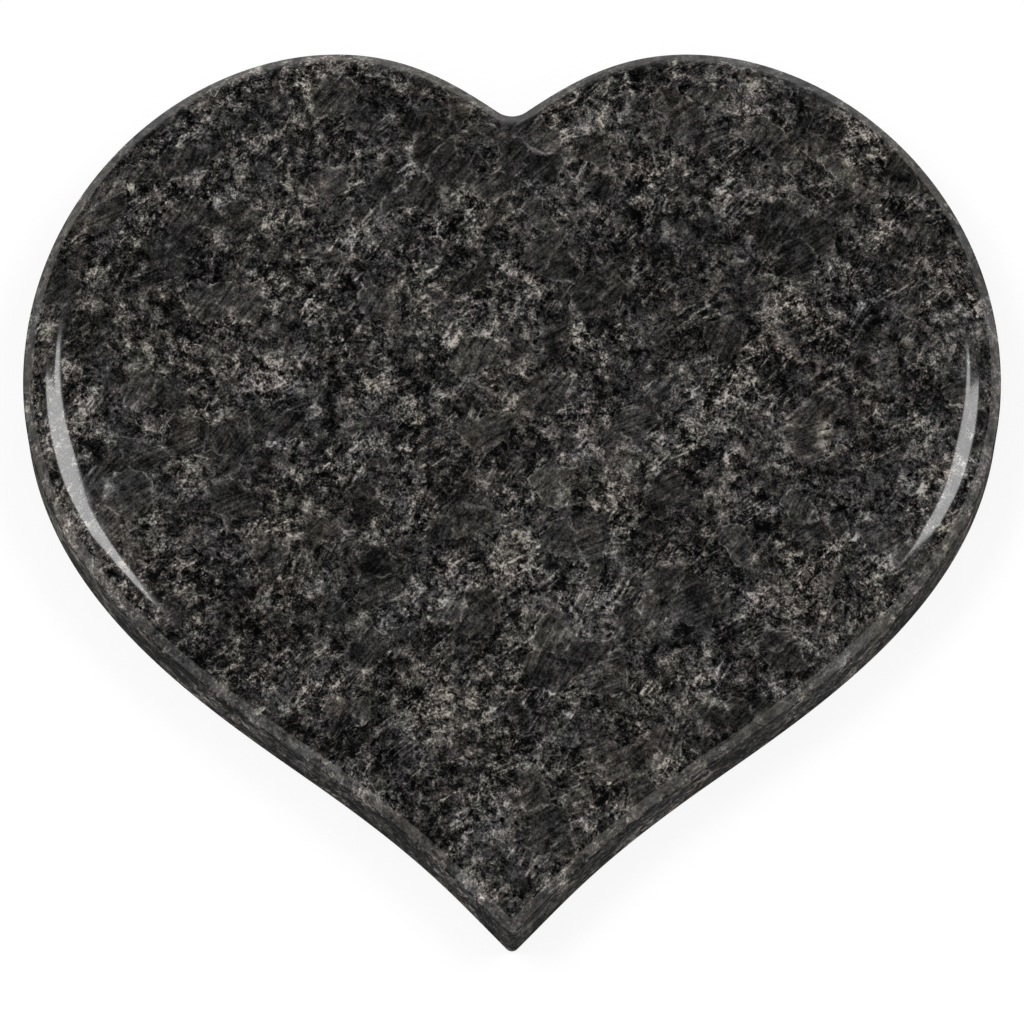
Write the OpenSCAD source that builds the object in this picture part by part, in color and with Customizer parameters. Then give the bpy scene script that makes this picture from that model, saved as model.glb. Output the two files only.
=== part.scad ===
// Heart-shaped memorial headstone: one slab of polished dark granite, lying on its sawn back.
// X runs across the heart, Y from the tip towards the notch, Z up through the slab.
// The origin is the middle of the underside. All sizes are in millimetres, all angles in degrees.

/* [Heart] */
// Width across both lobes at their widest
heart_w = 400; // [330:1:500]
// Height from the tip to the tops of the lobes
heart_h = 374; // [320:1:470]
// Distance of each lobe's top from the centre line
lobe_x = 72.5; // [58:0.5:92]
// Drop from the lobe tops to the bottom of the notch
notch_drop = 27; // [20:0.5:36]
// Drop from the lobe tops to the widest level
widest_drop = 140.5; // [110:0.5:175]

/* [Tip and flanks] */
// Distance of the flank's turning point from the centre line
flank_x = 77.5; // [62:0.5:100]
// Height of the flank's turning point above the tip
flank_rise = 68; // [54:1:86]
// Slope of the flank there, from the centre line
flank_angle = 54; // [45:0.5:60]
// Half angle of the tip, from the centre line
tip_angle = 44.5; // [36:0.5:50]
// Radius of the rounded tip
tip_r = 3; // [2:0.5:6]
// Slope of the lobe where it leaves the notch, above the horizontal
notch_angle = 35; // [28:0.5:42]
// Radius of the rounded notch
notch_r = 10; // [5:0.5:15]

/* [Slab and edges] */
// Thickness from the sawn back to the polished face
slab_t = 40; // [30:1:60]
// Width and height of the bevel between the side wall and the face
bevel = 3.8; // [2:0.1:7]
// Width of the rolled margin inside the bevel
roll_w = 16; // [8:1:24]
// Drop of the rolled margin from the flat of the face to the bevel
roll_drop = 4; // [2:0.5:6]
// Width and height of the small arris round the back
back_arris = 1.5; // [0.5:0.5:3]
// Smallest radius left at the tip of the face, where the edges run together
arris_r = 0.5; // [0.3:0.1:1]

/* [Fullness of the curves] */
// Each curve's two handles, as shares of the straight line between its ends
// From the notch up to the lobe's top
lobe_full = [0.33, 0.40]; // [0.2:0.01:0.6]
// From the lobe's top round to the widest point
shoulder_full = [0.33, 0.43]; // [0.2:0.01:0.6]
// From the widest point down to the flank's turning point
flank_full = [0.40, 0.29]; // [0.2:0.01:0.6]
// From the turning point down to the tip
tail_full = [0.53, 0.28]; // [0.2:0.01:0.6]

/* [Fineness] */
// Steps along each curve of the outline
curve_steps = 20; // [10:1:30]
// Steps round the notch and round the tip
corner_steps = 4; // [3:1:8]
// Steps across the rolled margin
roll_steps = 8; // [4:1:12]

/* [Hidden] */
granite = "#3a3a39";

half_w = heart_w / 2;
lobe_y = heart_h / 2;
tip_y = -heart_h / 2;
wall_top = slab_t - roll_drop - bevel;
face_inset = bevel + roll_w;
roll_r = (roll_w ^ 2 + roll_drop ^ 2) / (2 * roll_drop);
roll_angle = asin(roll_w / roll_r);
halvings = 40;

// Directions are those of travel down the right half, from the notch over the lobe to the tip.
notch_dir = [cos(notch_angle), sin(notch_angle)];
flank_dir = [-sin(flank_angle), -cos(flank_angle)];
tip_dir = [-sin(tip_angle), -cos(tip_angle)];

function unit(v) = v / norm(v);
function inward(dir) = [dir.y, -dir.x];
function flipped(p) = [-p.x, p.y];

// Centres of the notch's round, outside the stone, and of the tip's round, inside it.
notch_centre = [0, lobe_y - notch_drop + notch_r];
tip_centre = [0, tip_y + tip_r];

// Places where one curve of the right half hands over to the next.
notch_end = notch_centre + notch_r * inward(notch_dir);
lobe_top = [lobe_x, lobe_y];
widest = [half_w, lobe_y - widest_drop];
flank_turn = [flank_x, tip_y + flank_rise];
tip_start = tip_centre - tip_r * inward(tip_dir);

// Control points of a curve between two places, given its direction at each and its fullness.
function curve(from, from_dir, to, to_dir, full) =
    let (reach = norm(to - from))
    [from, from + full[0] * reach * from_dir, to - full[1] * reach * to_dir, to];

lobe = curve(notch_end, notch_dir, lobe_top, [1, 0], lobe_full);
shoulder = curve(lobe_top, [1, 0], widest, [0, -1], shoulder_full);
flank = curve(widest, [0, -1], flank_turn, flank_dir, flank_full);
tail = curve(flank_turn, flank_dir, tip_start, tip_dir, tail_full);

function curve_point(c, t) =
    (1 - t) ^ 3 * c[0] + 3 * t * (1 - t) ^ 2 * c[1] + 3 * t ^ 2 * (1 - t) * c[2] + t ^ 3 * c[3];
function curve_dir(c, t) =
    unit((1 - t) ^ 2 * (c[1] - c[0]) + 2 * t * (1 - t) * (c[2] - c[1]) + t ^ 2 * (c[3] - c[2]));

// A curve's point moved squarely inwards by an inset.
function inset_point(c, t, inset) = curve_point(c, t) + inset * inward(curve_dir(c, t));
function inset_curve(c, inset, from, to) =
    [for (i = [from:to]) inset_point(c, i / curve_steps, inset)];

// How far along the tail an inset copy of it meets the centre line, by halving.
function meets_centre(inset, low = 0, high = 1, left = halvings) =
    let (middle = (low + high) / 2)
    left == 0 ? middle
    : inset_point(tail, middle, inset).x > 0 ? meets_centre(inset, middle, high, left - 1)
    : meets_centre(inset, low, middle, left - 1);

// The notch's round, from the centre line to the lobe.
function notch_round(inset) =
    [for (i = [0:corner_steps])
        let (a = notch_angle * i / corner_steps)
        notch_centre + (notch_r + inset) * [sin(a), -cos(a)]];

// The tail and the tip's round, down to the centre line. The tip's radius shrinks with the inset.
function tail_and_tip(inset) =
    let (
        r = max(tip_r - inset, arris_r),
        last = meets_centre(inset + r),
        centre = inset_point(tail, last, inset + r),
        end_dir = curve_dir(tail, last),
        end_angle = atan2(-end_dir.x, -end_dir.y)
    )
    concat(
        [for (i = [1:curve_steps]) inset_point(tail, last * i / curve_steps, inset)],
        [for (i = [1:corner_steps])
            let (a = (90 - end_angle) * (1 - i / corner_steps))
            [i == corner_steps ? 0 : r * sin(a), centre.y - r * cos(a)]]
    );

// Right half of the outline at an inset, from the notch to the tip, both on the centre line.
function half_outline(inset) =
    concat(
        notch_round(inset),
        inset_curve(lobe, inset, 1, curve_steps),
        inset_curve(shoulder, inset, 1, curve_steps),
        inset_curve(flank, inset, 1, curve_steps),
        tail_and_tip(inset)
    );

// Whole outline at an inset, clockwise from the notch.
function outline(inset) =
    let (right = half_outline(inset), last = len(right) - 1)
    concat(right, [for (i = [last - 1:-1:1]) flipped(right[i])]);

function level(inset, z) = [for (p = outline(inset)) [p.x, p.y, z]];

// Inset and height of each level, from the back, up the wall and over the bevel and the roll.
profile = concat(
    [[back_arris, 0], [0, back_arris], [0, wall_top]],
    [for (i = [0:roll_steps])
        let (a = roll_angle * (1 - i / roll_steps))
        [face_inset - roll_r * sin(a), slab_t - roll_r * (1 - cos(a))]]
);

module heart_stone() {
    levels = [for (step = profile) level(step[0], step[1])];
    around = len(levels[0]);
    top = len(levels) - 1;
    back_middle = len(levels) * around;
    face_middle = back_middle + 1;
    // Each flat is a fan of triangles round its middle, which sees the whole of the outline.
    back_face = [for (j = [0:around - 1]) [back_middle, (j + 1) % around, j]];
    polished_face = [for (j = [0:around - 1]) [face_middle, top * around + j, top * around + (j + 1) % around]];
    // The right half's diagonals run one way and the left half's the other, so the halves mirror each other.
    sides = [
        for (i = [0:top - 1], j = [0:around - 1])
            let (
                next = (j + 1) % around,
                a = i * around + j,
                b = i * around + next,
                c = (i + 1) * around + next,
                d = (i + 1) * around + j
            )
            each j < around / 2 ? [[a, b, c], [a, c, d]] : [[a, b, d], [b, c, d]]
    ];
    color(granite)
        polyhedron(
            points = concat([for (one = levels) each one], [[0, 0, 0], [0, 0, slab_t]]),
            faces = concat(back_face, sides, polished_face),
            convexity = 4
        );
}

heart_stone();
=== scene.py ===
"""Looks of the heart-shaped headstone: one slab of polished dark granite, lying on its sawn back."""

import math

import bpy
import numpy as np
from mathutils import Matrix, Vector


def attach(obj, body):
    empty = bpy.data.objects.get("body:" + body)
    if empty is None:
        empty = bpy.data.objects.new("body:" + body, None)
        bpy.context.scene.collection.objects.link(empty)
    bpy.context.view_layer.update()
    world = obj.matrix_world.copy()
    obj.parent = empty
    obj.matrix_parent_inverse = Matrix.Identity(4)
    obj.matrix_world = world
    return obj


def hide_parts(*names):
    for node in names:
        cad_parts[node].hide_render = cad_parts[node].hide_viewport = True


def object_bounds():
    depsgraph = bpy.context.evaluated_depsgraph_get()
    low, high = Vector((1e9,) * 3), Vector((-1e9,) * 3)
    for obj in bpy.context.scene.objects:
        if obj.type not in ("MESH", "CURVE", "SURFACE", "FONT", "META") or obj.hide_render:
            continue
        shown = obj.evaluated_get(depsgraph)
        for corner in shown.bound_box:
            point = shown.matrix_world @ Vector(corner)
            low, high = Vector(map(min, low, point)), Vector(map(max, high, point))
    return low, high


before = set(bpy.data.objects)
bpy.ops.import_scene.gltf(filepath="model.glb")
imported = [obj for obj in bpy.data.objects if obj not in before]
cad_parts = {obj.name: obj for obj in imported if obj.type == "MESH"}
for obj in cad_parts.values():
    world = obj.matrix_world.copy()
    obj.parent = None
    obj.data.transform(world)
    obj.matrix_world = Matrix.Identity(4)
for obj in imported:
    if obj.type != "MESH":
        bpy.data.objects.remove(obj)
cad_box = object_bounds()

MM = 0.001
NODE = "heart_stone"

# Fineness of the visual mesh.
AROUND_STEPS = 4  # new points for each of the CAD outline's steps
ARRIS_STEPS = 4  # facets round each softened arris
ROLL_STEPS = 3  # new levels for each of the CAD's levels on the rolled margin
WALL_RINGS = 5  # new levels up the side wall
BEVEL_RINGS = 2  # new levels up the bevel
FLAT_RINGS = 14  # rings from the edge of a flat to its middle

# Softening of the arrises: how far from the sharp edge the rounding starts and ends.
BACK_ARRIS = 0.35 * MM
WALL_ARRIS = 0.60 * MM
FACE_ARRIS = 0.45 * MM

# The stone's mottling and grain: how much each size of soft noise adds to the tone.
SOFT_GRAIN = {
    64 * MM: 0.42,
    32 * MM: 0.65,
    16 * MM: 0.85,
    8 * MM: 1.35,
    4 * MM: 1.35,
    2 * MM: 1.45,
    1 * MM: 1.80,
    0.5 * MM: 2.00,
}
# The same for sharp-edged grains that each have a tone of their own.
SHARP_GRAIN = {9.0 * MM: 0.30, 4.4 * MM: 0.52, 2.2 * MM: 0.72, 1.1 * MM: 0.50}
PATCH = 22 * MM  # light and dark patches, which the seams, flecks and sheaves follow
GRAIN_TURN = math.radians(31)  # turn of the patterns, so that their cells don't line up with the stone
SEAM = 8 * MM
THREAD = 5 * MM
FLECK = 3.1 * MM  # pale feldspar
SPECK = 2.8 * MM  # dark mica

# The largest crystals, and the strokes of cleavage in them.
CRYSTAL = 16 * MM
PLATES_FROM = 0.70  # least number, from 0 to 1, with which a crystal is an even plate
PLATE_COVER = 0.78  # how much of the grain under it a plate hides
STROKE = 1.2 * MM
STROKE_SQUEEZE = (1.0, 0.12, 0.5)  # of the noise along the three axes, which draws it out into strokes
STROKE_TURN = math.radians(20)
STROKE_SPREAD = math.radians(50)

# Display levels of the stone from its darkest mica to its palest feldspar, by tone.
TONES = [
    (0.000, (1, 1, 1)),
    (0.209, (4, 4, 4)),
    (0.294, (12.5, 12, 11.5)),
    (0.416, (34, 33, 32)),
    (0.500, (50.5, 49, 47.5)),
    (0.584, (69, 67, 65)),
    (0.706, (104, 101.5, 98.5)),
    (0.791, (132, 129, 125.5)),
    (0.886, (162, 158.5, 154.5)),
    (1.000, (190, 186, 181)),
]
SIGNAL_SPAN = 8  # how far the signal runs, about 0, over all of the tones
SIGNAL_ENDS = (-3.0, 3.0)  # the part of it over which the gloss changes

# Tints that the stone's areas run between, and the one of the plates.
COOL, WARM = (0.95, 0.995, 1.08), (1.045, 0.995, 0.935)
GREENISH, PINKISH = (0.98, 1.03, 0.98), (1.02, 0.965, 1.01)
UNTINTED, PLATE_TINT = (1.0, 1.0, 1.0), (1.0, 1.004, 0.985)

# How much paler the stone is drawn where it isn't polished: a factor, an even haze on top, and the tones'
# contrast. On the bevel and the wall this is partly the duller stone's own colour and partly painted light:
# painted sheen on the bevel, painted light on the wall.
# Bevel: paler partly as lower-polished stone, partly as painted sheen, the band's bright reflection put into
# its colour and haze.
BEVEL_PALENESS_AND_PAINTED_SHEEN = (2.85, 0.004, 0.50)
# Wall: paler partly as honed stone, partly as painted light that makes up for its weak sheen and the floor's
# low bounce.
WALL_PALENESS_AND_PAINTED_LIGHT = (1.40, 0.013)
BACK_LOOK = (1.00, 0.045)

# Gloss of the finishes. Roughness is from the darkest grain to the palest where it has two values.
STONE_IOR = 1.5
FACE_ROUGHNESS = (0.10, 0.05)
BEVEL_ROUGHNESS = (0.32, 0.20)
BEVEL_SPECULAR = 0.10
WALL_ROUGHNESS = 0.6
WALL_SPECULAR = 0.003
WALL_RELIEF = 0.02 * MM
BACK_ROUGHNESS = 0.8
BACK_RELIEF = 0.12 * MM
BLADE_CENTRE = (0.45, -0.95, 0.0)  # where the blade turned that sawed the back

# The studio: a low and a high softbox on either side, each by its corners as (x / z, y / z) from the stone.
BOX_HEIGHT = 12.0
BOXES = {
    "left_low": [
        (-0.77, 0.39), (-0.77, 0.06), (-0.69, -0.06), (-0.58, -0.06),
        (-0.465, -0.106), (-0.39, 0.0), (-0.39, 0.13), (-0.49, 0.325),
    ],
    "left_high": [(-0.46, 0.40), (-0.38, 0.375), (-0.243, 0.25), (-0.39, 0.13), (-0.49, 0.325)],
    "right_low": [
        (0.80, 0.38), (0.80, 0.05), (0.72, -0.035), (0.63, -0.035),
        (0.435, 0.018), (0.42, 0.10), (0.42, 0.15), (0.50, 0.32),
    ],
    "right_high": [(0.50, 0.395), (0.42, 0.36), (0.345, 0.25), (0.42, 0.15), (0.50, 0.32)],
}
RADIANCE = {"left": 8.9, "right": 8.1}
FILL_LEVEL = 0.44  # the even light that falls on the stone
# What reflections show: white up to the horizon's end, then a fade to a dark ceiling.
HORIZON_LEVEL = 1.0
HORIZON_END = math.radians(12)
CEILING_LEVEL = 0.02
CEILING_START = math.radians(25)

FLOOR_RADIUS = 60.0
FLOOR_DROP = 0.2 * MM  # below the stone's back
FLOOR_SHADE = 0.20
FLOOR_LIFT = 0.84  # its glow for the camera and in reflections, which makes it white there

# The camera: far off, with a long lens, aimed at the middle of what shows of the stone.
CAMERA_LEAN = math.radians(16.6)
CAMERA_REACH = 4.0
CAMERA_TARGET = (0.0, -5.2 * MM, 15 * MM)
CAMERA_LENS = 343.7
CAMERA_SENSOR = 36.0
CAMERA_CLIP_END = 200


# ---------------------------------------------------------------- shape


def cad_levels(node):
    """The CAD solid's outlines, lowest first, as (levels, points round, 3), each clockwise from the notch."""
    corners = np.array([v.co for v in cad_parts[node].data.vertices], float)
    corners = np.unique(np.round(corners, 6), axis=0)
    corners = corners[np.hypot(corners[:, 0], corners[:, 1]) > MM]  # leaves out the middles of the flats
    levels = []
    for z in np.unique(corners[:, 2]):
        ring = corners[corners[:, 2] == z]
        bearing = np.arctan2(ring[:, 0], ring[:, 1]) % (2 * math.pi)
        levels.append(ring[np.argsort(bearing)])
    return np.array(levels)


def refine_round(rings, steps):
    """Closed rings with more points, on a smooth curve through the old ones.

    The curve is a Catmull-Rom one whose knots follow the points' spacing, so it doesn't overshoot where
    long steps meet short ones.
    """
    before, here = np.roll(rings, 1, axis=1), rings
    after, beyond = np.roll(rings, -1, axis=1), np.roll(rings, -2, axis=1)

    def gap(a, b):
        return np.sqrt(np.linalg.norm(b - a, axis=2, keepdims=True))

    t0 = np.zeros_like(gap(before, here))
    t1 = t0 + gap(before, here)
    t2 = t1 + gap(here, after)
    t3 = t2 + gap(after, beyond)
    columns = []
    for k in range(steps):
        t = t1 + (t2 - t1) * k / steps
        a = (before * (t1 - t) + here * (t - t0)) / (t1 - t0)
        b = (here * (t2 - t) + after * (t - t1)) / (t2 - t1)
        c = (after * (t3 - t) + beyond * (t - t2)) / (t3 - t2)
        d = (a * (t2 - t) + b * (t - t0)) / (t2 - t0)
        e = (b * (t3 - t) + c * (t - t1)) / (t3 - t1)
        columns.append((d * (t2 - t) + e * (t - t1)) / (t2 - t1))
    fine = np.stack(columns, axis=2)
    return fine.reshape(rings.shape[0], -1, 3)


def softened(below, corner, above, reach):
    """Rings that round off a sharp ring, starting and ending a short reach from it along its two slopes."""
    down, up = below - corner, above - corner
    start = corner + down / np.linalg.norm(down, axis=1, keepdims=True) * reach
    end = corner + up / np.linalg.norm(up, axis=1, keepdims=True) * reach
    shares = np.linspace(0, 1, ARRIS_STEPS + 1)
    return [(1 - s) ** 2 * start + 2 * s * (1 - s) * corner + s**2 * end for s in shares]


def rings_between(low, high, count):
    """Evenly spaced rings between two others, which are left out."""
    return [low + (high - low) * k / (count + 1) for k in range(1, count + 1)]


def refine_roll(levels, steps):
    """More levels over the rolled margin, on the circular arc that the CAD's levels follow."""
    low, high = levels[0], levels[-1]
    inset = np.median(np.linalg.norm((high - low)[:, :2], axis=1))
    drop = (high - low)[0, 2]
    radius = (inset**2 + drop**2) / (2 * drop)
    widest = math.asin(inset / radius)
    count = (len(levels) - 1) * steps
    fine = []
    for k in range(count + 1):
        whole, part = divmod(k, steps)
        if part == 0:
            fine.append(levels[whole])
            continue
        angle = widest * (1 - k / count)
        ends = [widest * (1 - (whole + side) * steps / count) for side in (0, 1)]
        here, first, last = (math.sin(a) for a in (angle, *ends))
        share = (first - here) / (first - last)
        ring = levels[whole] + (levels[whole + 1] - levels[whole]) * share
        ring[:, 2] = high[0, 2] - radius * (1 - math.cos(angle))
        fine.append(ring)
    return fine


def flat_rings(edge):
    """Rings from just inside a flat's edge towards its middle."""
    shares = [1 - k / FLAT_RINGS for k in range(1, FLAT_RINGS)]
    return [edge * [s, s, 1] for s in shares]


def slab_rings():
    """All rings of the slab from the back's middle to the face's, and the slot of the band below each."""
    levels = refine_round(cad_levels(NODE), AROUND_STEPS)
    back, arris, wall_top, bevel_top = levels[:4]
    roll = refine_roll(levels[3:], ROLL_STEPS)
    inside_back = flat_rings(back)
    parts = [
        ("sawn", inside_back[::-1]),
        ("sawn", softened(inside_back[0], back, arris, BACK_ARRIS)),
        ("wall", softened(back, arris, wall_top, BACK_ARRIS)),
        ("wall", rings_between(arris, wall_top, WALL_RINGS)),
        ("wall", softened(arris, wall_top, bevel_top, WALL_ARRIS)),
        ("bevel", rings_between(wall_top, bevel_top, BEVEL_RINGS)),
        ("bevel", softened(wall_top, bevel_top, roll[1], FACE_ARRIS)),
        ("polished", roll[1:]),
        ("polished", flat_rings(roll[-1])),
    ]
    rings, slots = [], []
    for slot, some in parts:
        rings += some
        slots += [slot] * len(some)
    return np.clip(rings, *cad_box), slots


def make_slab(materials):
    """The slab as one closed mesh of rings, with a material for each band."""
    rings, slots = slab_rings()
    count, around = rings.shape[:2]
    points = rings.reshape(-1, 3).tolist()
    points += [[0, 0, rings[0, 0, 2]], [0, 0, rings[-1, 0, 2]]]
    back_middle, face_middle = len(points) - 2, len(points) - 1
    faces, bands = [], []
    for j in range(around):
        n = (j + 1) % around
        faces.append((back_middle, j, n))
        bands.append("sawn")
        faces.append((face_middle, (count - 1) * around + n, (count - 1) * around + j))
        bands.append("polished")
        for i in range(count - 1):
            low, high = i * around, (i + 1) * around
            faces.append((low + j, high + j, high + n, low + n))
            bands.append(slots[i + 1])
    mesh = bpy.data.meshes.new("heart_slab")
    mesh.from_pydata(points, [], faces)
    order = list(materials)
    for name in order:
        mesh.materials.append(materials[name])
    mesh.polygons.foreach_set("material_index", [order.index(b) for b in bands])
    mesh.polygons.foreach_set("use_smooth", [True] * len(faces))
    mesh.update()
    slab = bpy.data.objects.new("heart_slab", mesh)
    bpy.context.scene.collection.objects.link(slab)
    return slab


# ---------------------------------------------------------------- nodes


class Graph:
    """Short calls for building one material's nodes. Sizes of patterns are in metres."""

    def __init__(self, name):
        self.material = bpy.data.materials.new(name)
        self.material.use_nodes = True
        self.nodes = self.material.node_tree.nodes
        self.links = self.material.node_tree.links
        self.shader = self.nodes["Principled BSDF"]
        self.place = self.nodes.new("ShaderNodeTexCoord").outputs["Object"]

    def put(self, socket, value):
        """A link from another node's output, or a plain value."""
        if isinstance(value, bpy.types.NodeSocket):
            self.links.new(value, socket)
        else:
            socket.default_value = value

    def math(self, operation, *terms):
        node = self.nodes.new("ShaderNodeMath")
        node.operation = operation
        for socket, term in zip(node.inputs, terms):
            self.put(socket, term)
        return node.outputs[0]

    def vector(self, operation, a, b):
        node = self.nodes.new("ShaderNodeVectorMath")
        node.operation = operation
        self.put(node.inputs[0], a)
        if operation == "SCALE":
            self.put(node.inputs["Scale"], b)
        else:
            self.put(node.inputs[1], b)
        return node.outputs["Value"] if operation == "DISTANCE" else node.outputs[0]

    def sum(self, *terms):
        """Sum of (value, weight) pairs."""
        total = 0.0
        for value, weight in terms:
            total = self.math("MULTIPLY_ADD", value, weight, total)
        return total

    def centred(self, value):
        """A value of 0 to 1 spread over -1 to 1."""
        return self.math("MULTIPLY_ADD", value, 2.0, -1.0)

    def smooth(self, value, low, high):
        """0 below low, 1 above high and a smooth rise between."""
        node = self.nodes.new("ShaderNodeMapRange")
        node.interpolation_type = "SMOOTHSTEP"
        self.put(node.inputs["Value"], value)
        self.put(node.inputs["From Min"], low)
        self.put(node.inputs["From Max"], high)
        return node.outputs["Result"]

    def straight(self, value, low, high, first, last):
        """First below low, last above high and straight between."""
        node = self.nodes.new("ShaderNodeMapRange")
        for socket, number in zip(node.inputs, (value, low, high, first, last)):
            self.put(socket, number)
        return node.outputs["Result"]

    def noise(self, size, detail=0.0, place=None, seed=0.0, colour=False):
        """Noise from roughly -1 to 1 about 0, or with colour its three-way output from 0 to 1."""
        node = self.nodes.new("ShaderNodeTexNoise")
        node.noise_dimensions = "4D"
        self.put(node.inputs["Vector"], self.place if place is None else place)
        self.put(node.inputs["W"], seed * size)
        self.put(node.inputs["Scale"], 1 / size)
        self.put(node.inputs["Detail"], detail)
        if colour:
            return node.outputs["Color"]
        return self.centred(node.outputs["Fac"])

    def cells(self, size, place, feature="F1"):
        """A pattern of cells, as a node with their colours and distances."""
        node = self.nodes.new("ShaderNodeTexVoronoi")
        node.feature = feature
        self.put(node.inputs["Vector"], place)
        self.put(node.inputs["Scale"], 1 / size)
        return node

    def flecks(self, size, reach, rarity, place):
        """Soft-edged flecks of 1 in some of the cells. The reach is in cells, and rarity runs from 0 to 1."""
        node = self.cells(size, place)
        chosen = self.smooth(self.part(node.outputs["Color"], 0), rarity, rarity + 0.1)
        return self.math("MULTIPLY", self.smooth(node.outputs["Distance"], reach, 0.4 * reach), chosen)

    def warped(self, size, amount, place):
        """The place moved about by noise, so that what is drawn there has uneven edges."""
        noise = self.noise(size, detail=2, place=place, colour=True)
        push = self.vector("SUBTRACT", noise, (0.5, 0.5, 0.5))
        return self.vector("ADD", place, self.vector("SCALE", push, 2 * amount))

    def rotated(self, place, angle):
        """The place turned about the upright axis."""
        node = self.nodes.new("ShaderNodeVectorRotate")
        node.rotation_type = "Z_AXIS"
        self.put(node.inputs["Vector"], place)
        self.put(node.inputs["Angle"], angle)
        return node.outputs["Vector"]

    def part(self, colour, axis):
        """One channel of a colour."""
        node = self.nodes.new("ShaderNodeSeparateColor")
        self.put(node.inputs["Color"], colour)
        return node.outputs[axis]

    def ramp(self, value, stops):
        """A colour from (place, colour) stops."""
        node = self.nodes.new("ShaderNodeValToRGB")
        elements = node.color_ramp.elements
        while len(elements) < len(stops):
            elements.new(0.5)
        for element, (place, colour) in zip(elements, stops):
            element.position = place
            element.color = (*colour, 1.0)
        self.put(node.inputs["Fac"], value)
        return node.outputs["Color"]

    def tinted(self, colour, share, first, last):
        """The colour times a tint that goes from the first to the last."""
        node = self.nodes.new("ShaderNodeMix")
        node.data_type = "VECTOR"
        sockets = [s for s in node.inputs if s.enabled]
        for socket, value in zip(sockets, (share, first, last)):
            self.put(socket, value)
        return self.vector("MULTIPLY", colour, [s for s in node.outputs if s.enabled][0])

    def relief(self, height, depth):
        """Fine relief in the shading alone, from a height that runs from about -1 to 1."""
        node = self.nodes.new("ShaderNodeBump")
        self.put(node.inputs["Distance"], depth)
        self.put(node.inputs["Height"], height)
        self.put(self.shader.inputs["Normal"], node.outputs["Normal"])


def from_srgb(*levels):
    """A linear colour from display levels of 0 to 255."""
    shares = [v / 255 for v in levels]
    return tuple(s / 12.92 if s <= 0.04045 else ((s + 0.055) / 1.055) ** 2.4 for s in shares)


# ---------------------------------------------------------------- granite


def soft_grain(g, place):
    """Mottling and grain that fade into each other, from SOFT_GRAIN."""
    layers = enumerate(SOFT_GRAIN.items())
    return g.sum(*((g.noise(size, place=place, seed=3.7 * k), weight) for k, (size, weight) in layers))


def sharp_grain(g, place):
    """Grains of one tone each, from SHARP_GRAIN."""
    grains = ((g.cells(size, place).outputs["Color"], weight) for size, weight in SHARP_GRAIN.items())
    return g.sum(*((g.centred(g.part(colour, 1)), weight) for colour, weight in grains))


def pale_lines(g, uneven, crumpled, patches):
    """Seams between the grains and threads across them, where the stone is light."""
    light = g.smooth(g.sum((patches, 1.0), (g.noise(8 * MM, seed=18.0), 0.5)), -0.1, 0.4)
    seams = g.cells(SEAM, g.warped(2 * MM, 1.2 * MM, uneven), "DISTANCE_TO_EDGE").outputs["Distance"]
    threads = g.math("ABSOLUTE", g.noise(THREAD, place=crumpled, seed=19.0))
    lines = g.sum((g.smooth(seams, 0.06, 0.0), 1.5), (g.smooth(threads, 0.06, 0.0), 0.9))
    return g.math("MULTIPLY", lines, light)


def ground_signal(g, soft, lines, crumpled, patches):
    """The stone without its largest crystals: uneven grain, pale lines, pale flecks and dark specks."""
    strength = g.sum((g.noise(9 * MM, detail=1, seed=17.0), 1.0), (patches, 0.7))
    strength = g.straight(strength, -0.6, 0.6, 0.6, 1.5)
    grain = g.math("MULTIPLY", g.math("ADD", soft, sharp_grain(g, crumpled)), strength)
    flecks = g.math("MULTIPLY", g.flecks(FLECK, 0.38, 0.66, crumpled), g.smooth(patches, -0.3, 0.4))
    specks = g.flecks(SPECK, 0.46, 0.74, crumpled)
    return g.sum((grain, 1.0), (patches, 0.4), (lines, 1.0), (flecks, 1.4), (specks, -1.9))


def with_crystals(g, signal, soft, lines, uneven, patches):
    """The signal with the largest crystals drawn in, and how much of each place belongs to a plate."""
    place = g.warped(1.5 * MM, 0.8 * MM, g.warped(7 * MM, 3.2 * MM, uneven))
    colour = g.cells(CRYSTAL, place).outputs["Color"]
    tone, turn, kind = (g.part(colour, axis) for axis in range(3))
    # The strokes of cleavage run one way in each crystal, not far from the stone's own grain.
    turned = g.rotated(g.place, g.math("MULTIPLY_ADD", turn, STROKE_SPREAD, STROKE_TURN))
    strokes = g.noise(STROKE, detail=1, place=g.vector("MULTIPLY", turned, STROKE_SQUEEZE), seed=12.0)

    # Some crystals have sheaves of pale strokes.
    sheaves = g.sum((g.noise(9 * MM, detail=1, seed=26.0), 1.0), (kind, -1.0), (patches, 0.3))
    hatching = g.math("MULTIPLY", g.straight(strokes, 0.0, 0.5, -0.25, 1.0), g.smooth(sheaves, -0.42, -0.08))
    signal = g.sum((hatching, 2.1), (signal, 1.0))

    # Others are plates: even, with broken pale rims.
    edge = g.cells(CRYSTAL, place, "DISTANCE_TO_EDGE").outputs["Distance"]
    rim = g.math("MULTIPLY", g.smooth(edge, 0.07, 0.0), g.smooth(g.noise(5 * MM, seed=21.0), -0.35, 0.25))
    plate = g.sum((tone, 1.4), (strokes, 2.4), (soft, 0.58), (rim, 2.1), (lines, 0.5))
    plate = g.math("ADD", plate, -0.9)
    inside = g.math("MULTIPLY", g.smooth(kind, PLATES_FROM, PLATES_FROM + 0.02), PLATE_COVER)
    return g.sum((signal, g.math("SUBTRACT", 1.0, inside)), (plate, inside)), inside


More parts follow.
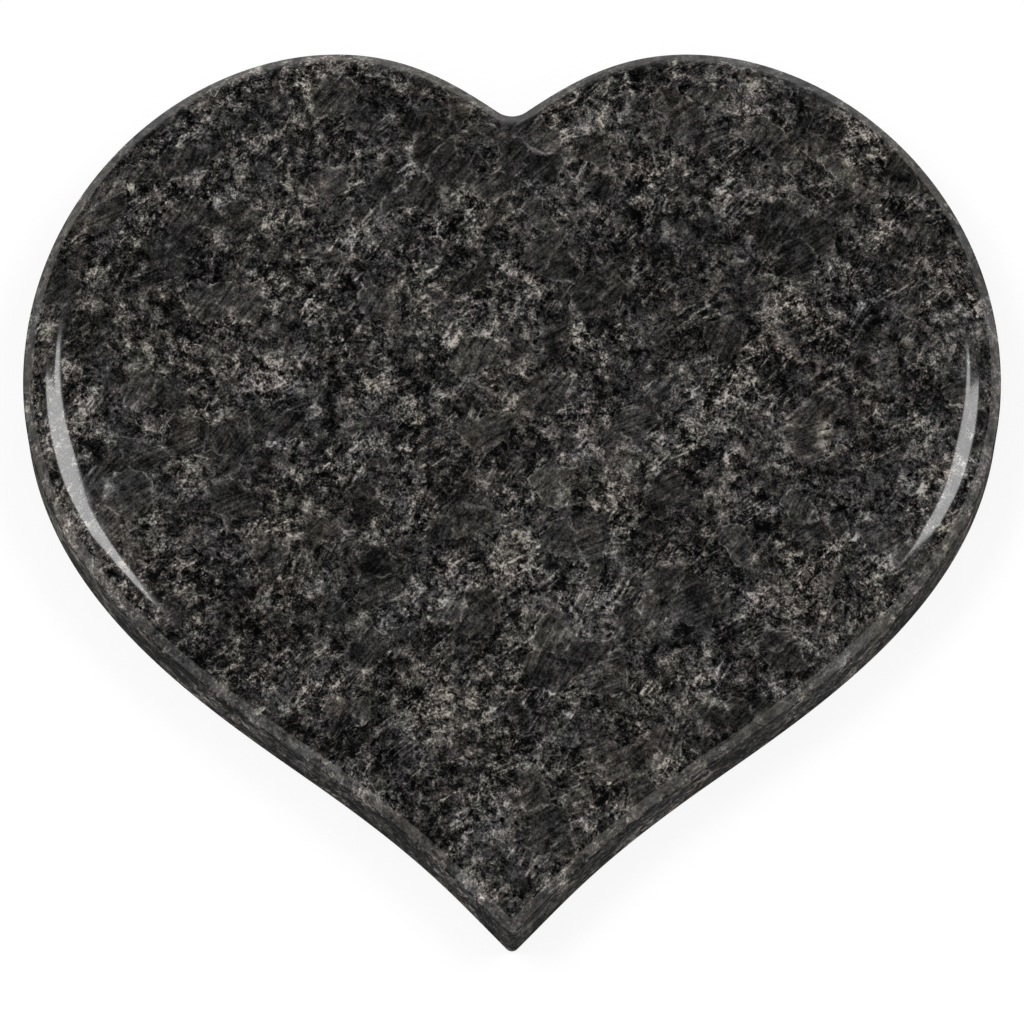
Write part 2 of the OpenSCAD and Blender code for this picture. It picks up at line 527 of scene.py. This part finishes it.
def coloured(g, level, signal, inside, askew, patches):
    """The stone's tones, with warm and cool areas, a touch of pink or green, and plates near olive."""
    colour = g.ramp(level, [(stop, from_srgb(*levels)) for stop, levels in TONES])
    warmth = g.sum(
        (g.noise(40 * MM, place=askew, seed=13.0), 0.6),
        (g.noise(10 * MM, place=askew, seed=14.0), 0.7),
        (patches, 0.5),
        (signal, 0.12),
    )
    colour = g.tinted(colour, g.smooth(warmth, -0.8, 0.8), COOL, WARM)
    blush = g.sum((g.noise(12 * MM, detail=1, seed=15.0), 1.0), (g.noise(2.5 * MM, seed=16.0), 0.9))
    colour = g.tinted(colour, g.smooth(blush, -0.7, 0.7), GREENISH, PINKISH)
    return g.tinted(colour, inside, UNTINTED, PLATE_TINT)


def granite(name, shade=1.0, haze=0.0, contrast=1.0):
    """A graph with the granite's colour on its shader, and the signal that sets its tone.

    The shade scales the colour, the haze is an even grey on top and the contrast is that of the tones, as the
    stone changes where it isn't polished. On the bevel and the wall the shade and haze also carry painted
    sheen and painted light.
    """
    g = Graph(name)
    askew = g.rotated(g.place, GRAIN_TURN)
    uneven = g.warped(6 * MM, 2.2 * MM, askew)
    crumpled = g.warped(1.5 * MM, 0.5 * MM, uneven)
    patches = g.noise(PATCH, detail=1, place=askew, seed=20.3)
    soft = soft_grain(g, askew)
    lines = pale_lines(g, uneven, crumpled, patches)
    ground = ground_signal(g, soft, lines, crumpled, patches)
    signal, inside = with_crystals(g, ground, soft, lines, uneven, patches)

    level = g.math("MULTIPLY_ADD", signal, contrast / SIGNAL_SPAN, 0.5)
    colour = coloured(g, level, signal, inside, askew, patches)
    # Shade and haze: paler unpolished stone, and on the bevel and the wall also painted sheen and painted
    # light.
    colour = g.vector("ADD", g.vector("SCALE", colour, shade), (haze, haze, haze))
    g.put(g.shader.inputs["Base Color"], colour)
    g.shader.inputs["IOR"].default_value = STONE_IOR
    return g, signal


def polished_granite():
    """The mirror-like face, a trace duller on its dark mica than on its pale feldspar."""
    g, signal = granite("polished_granite")
    g.put(g.shader.inputs["Roughness"], g.straight(signal, *SIGNAL_ENDS, *FACE_ROUGHNESS))
    return g.material


def bevel_granite_with_painted_sheen():
    """The bevel, taken to a lower polish: paler, softer in grain, and with painted sheen in its colour."""
    # Paler colour and haze: partly the duller stone, partly painted sheen standing in for the band's
    # reflection.
    g, signal = granite("bevel_granite_with_painted_sheen", *BEVEL_PALENESS_AND_PAINTED_SHEEN)
    g.put(g.shader.inputs["Roughness"], g.straight(signal, *SIGNAL_ENDS, *BEVEL_ROUGHNESS))
    g.shader.inputs["Specular IOR Level"].default_value = BEVEL_SPECULAR
    return g.material


def honed_granite_with_painted_light():
    """The wall, rubbed smooth but not polished, its paler colour partly painted light."""
    # Paler colour and haze: partly the honed stone, partly painted light that makes up for its weak sheen and
    # floor bounce.
    g, _ = granite("honed_granite_with_painted_light", *WALL_PALENESS_AND_PAINTED_LIGHT)
    g.shader.inputs["Roughness"].default_value = WALL_ROUGHNESS
    g.shader.inputs["Specular IOR Level"].default_value = WALL_SPECULAR
    g.relief(g.noise(0.6 * MM, detail=2, seed=22.0), WALL_RELIEF)
    return g.material


def sawn_granite():
    """The back as the saw left it: dull, paler and marked by the blade in shallow arcs."""
    g, _ = granite("sawn_granite", *BACK_LOOK)
    reach = g.nodes.new("ShaderNodeCombineXYZ")
    g.put(reach.inputs["X"], g.vector("DISTANCE", g.place, BLADE_CENTRE))
    place = reach.outputs["Vector"]
    wide, fine = g.noise(7 * MM, place=place, seed=23.0), g.noise(2.2 * MM, place=place, seed=24.0)
    marks = g.sum((wide, 1.0), (fine, 0.6))
    g.shader.inputs["Roughness"].default_value = BACK_ROUGHNESS
    g.relief(g.sum((marks, 1.0), (g.noise(0.8 * MM, detail=2, seed=25.0), 0.35)), BACK_RELIEF)
    return g.material


# ---------------------------------------------------------------- studio


def seen_rays(nodes, links):
    """1 for the rays that show a thing to the camera, straight, in a reflection or through glass, else 0."""
    rays = nodes.new("ShaderNodeLightPath").outputs
    total = rays["Is Camera Ray"]
    for other in ("Is Glossy Ray", "Is Transmission Ray"):
        node = nodes.new("ShaderNodeMath")
        node.operation = "MAXIMUM"
        links.new(total, node.inputs[0])
        links.new(rays[other], node.inputs[1])
        total = node.outputs[0]
    return total


def make_floor():
    """A plain floor that keeps the stone's shadow, and glows white for the camera and in reflections."""
    bpy.ops.mesh.primitive_circle_add(
        vertices=96, radius=FLOOR_RADIUS, fill_type="NGON", location=(0, 0, -FLOOR_DROP)
    )
    floor = bpy.context.object
    floor.name = "floor"
    g = Graph("floor")
    g.shader.inputs["Base Color"].default_value = (*[FLOOR_SHADE] * 3, 1)
    g.shader.inputs["Roughness"].default_value = 1.0
    g.shader.inputs["Specular IOR Level"].default_value = 0.0
    g.shader.inputs["Emission Color"].default_value = (1, 1, 1, 1)
    g.put(g.shader.inputs["Emission Strength"], g.math("MULTIPLY", seen_rays(g.nodes, g.links), FLOOR_LIFT))
    floor.data.materials.append(g.material)


def make_softbox(name, corners, radiance):
    """A flat softbox, hidden from the camera. Its corners are given on a plane one unit above the stone."""
    mesh = bpy.data.meshes.new(name)
    points = [(x * BOX_HEIGHT, y * BOX_HEIGHT, BOX_HEIGHT) for x, y in corners]
    mesh.from_pydata(points, [], [range(len(corners))])
    mesh.update()
    g = Graph(name)
    g.shader.inputs["Base Color"].default_value = (0, 0, 0, 1)
    g.shader.inputs["Emission Color"].default_value = (1, 1, 1, 1)
    g.shader.inputs["Emission Strength"].default_value = radiance
    mesh.materials.append(g.material)
    box = bpy.data.objects.new(name, mesh)
    box.visible_camera = False
    bpy.context.scene.collection.objects.link(box)


def make_world():
    """An even fill light, seen as a dark ceiling that brightens to white at the horizon."""
    world = bpy.data.worlds.new("studio")
    bpy.context.scene.world = world
    world.use_nodes = True
    nodes, links = world.node_tree.nodes, world.node_tree.links
    split = nodes.new("ShaderNodeSeparateXYZ")
    links.new(nodes.new("ShaderNodeTexCoord").outputs["Generated"], split.inputs[0])
    rise = nodes.new("ShaderNodeMapRange")
    rise.interpolation_type = "SMOOTHSTEP"
    rise.inputs["From Min"].default_value = math.sin(HORIZON_END)
    rise.inputs["From Max"].default_value = math.sin(CEILING_START)
    rise.inputs["To Min"].default_value = HORIZON_LEVEL
    rise.inputs["To Max"].default_value = CEILING_LEVEL
    links.new(split.outputs["Z"], rise.inputs["Value"])
    level = nodes.new("ShaderNodeMix")
    level.inputs[2].default_value = FILL_LEVEL
    links.new(seen_rays(nodes, links), level.inputs[0])
    links.new(rise.outputs["Result"], level.inputs[3])
    background = nodes["Background"]
    background.inputs["Color"].default_value = (1, 1, 1, 1)
    links.new(level.outputs[0], background.inputs["Strength"])


def make_camera():
    """Far above the stone on the tip's side, looking down on the face a little from below the tip."""
    camera = bpy.data.cameras.new("camera")
    camera.sensor_width = CAMERA_SENSOR
    camera.lens = CAMERA_LENS
    camera.clip_end = CAMERA_CLIP_END
    holder = bpy.data.objects.new("camera", camera)
    x, y, z = CAMERA_TARGET
    back, up = math.sin(CAMERA_LEAN), math.cos(CAMERA_LEAN)
    holder.location = (x, y - CAMERA_REACH * back, z + CAMERA_REACH * up)
    holder.rotation_euler = (CAMERA_LEAN, 0, 0)
    bpy.context.scene.collection.objects.link(holder)
    bpy.context.scene.camera = holder


# ---------------------------------------------------------------- scene

slab = make_slab({
    "polished": polished_granite(),
    "bevel": bevel_granite_with_painted_sheen(),
    "wall": honed_granite_with_painted_light(),
    "sawn": sawn_granite(),
})
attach(slab, "root")
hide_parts(NODE)

make_floor()
make_world()
for name, corners in BOXES.items():
    side = name.split("_")[0]
    make_softbox(name, corners, RADIANCE[side])
make_camera()

bpy.context.scene.view_settings.view_transform = "Standard"
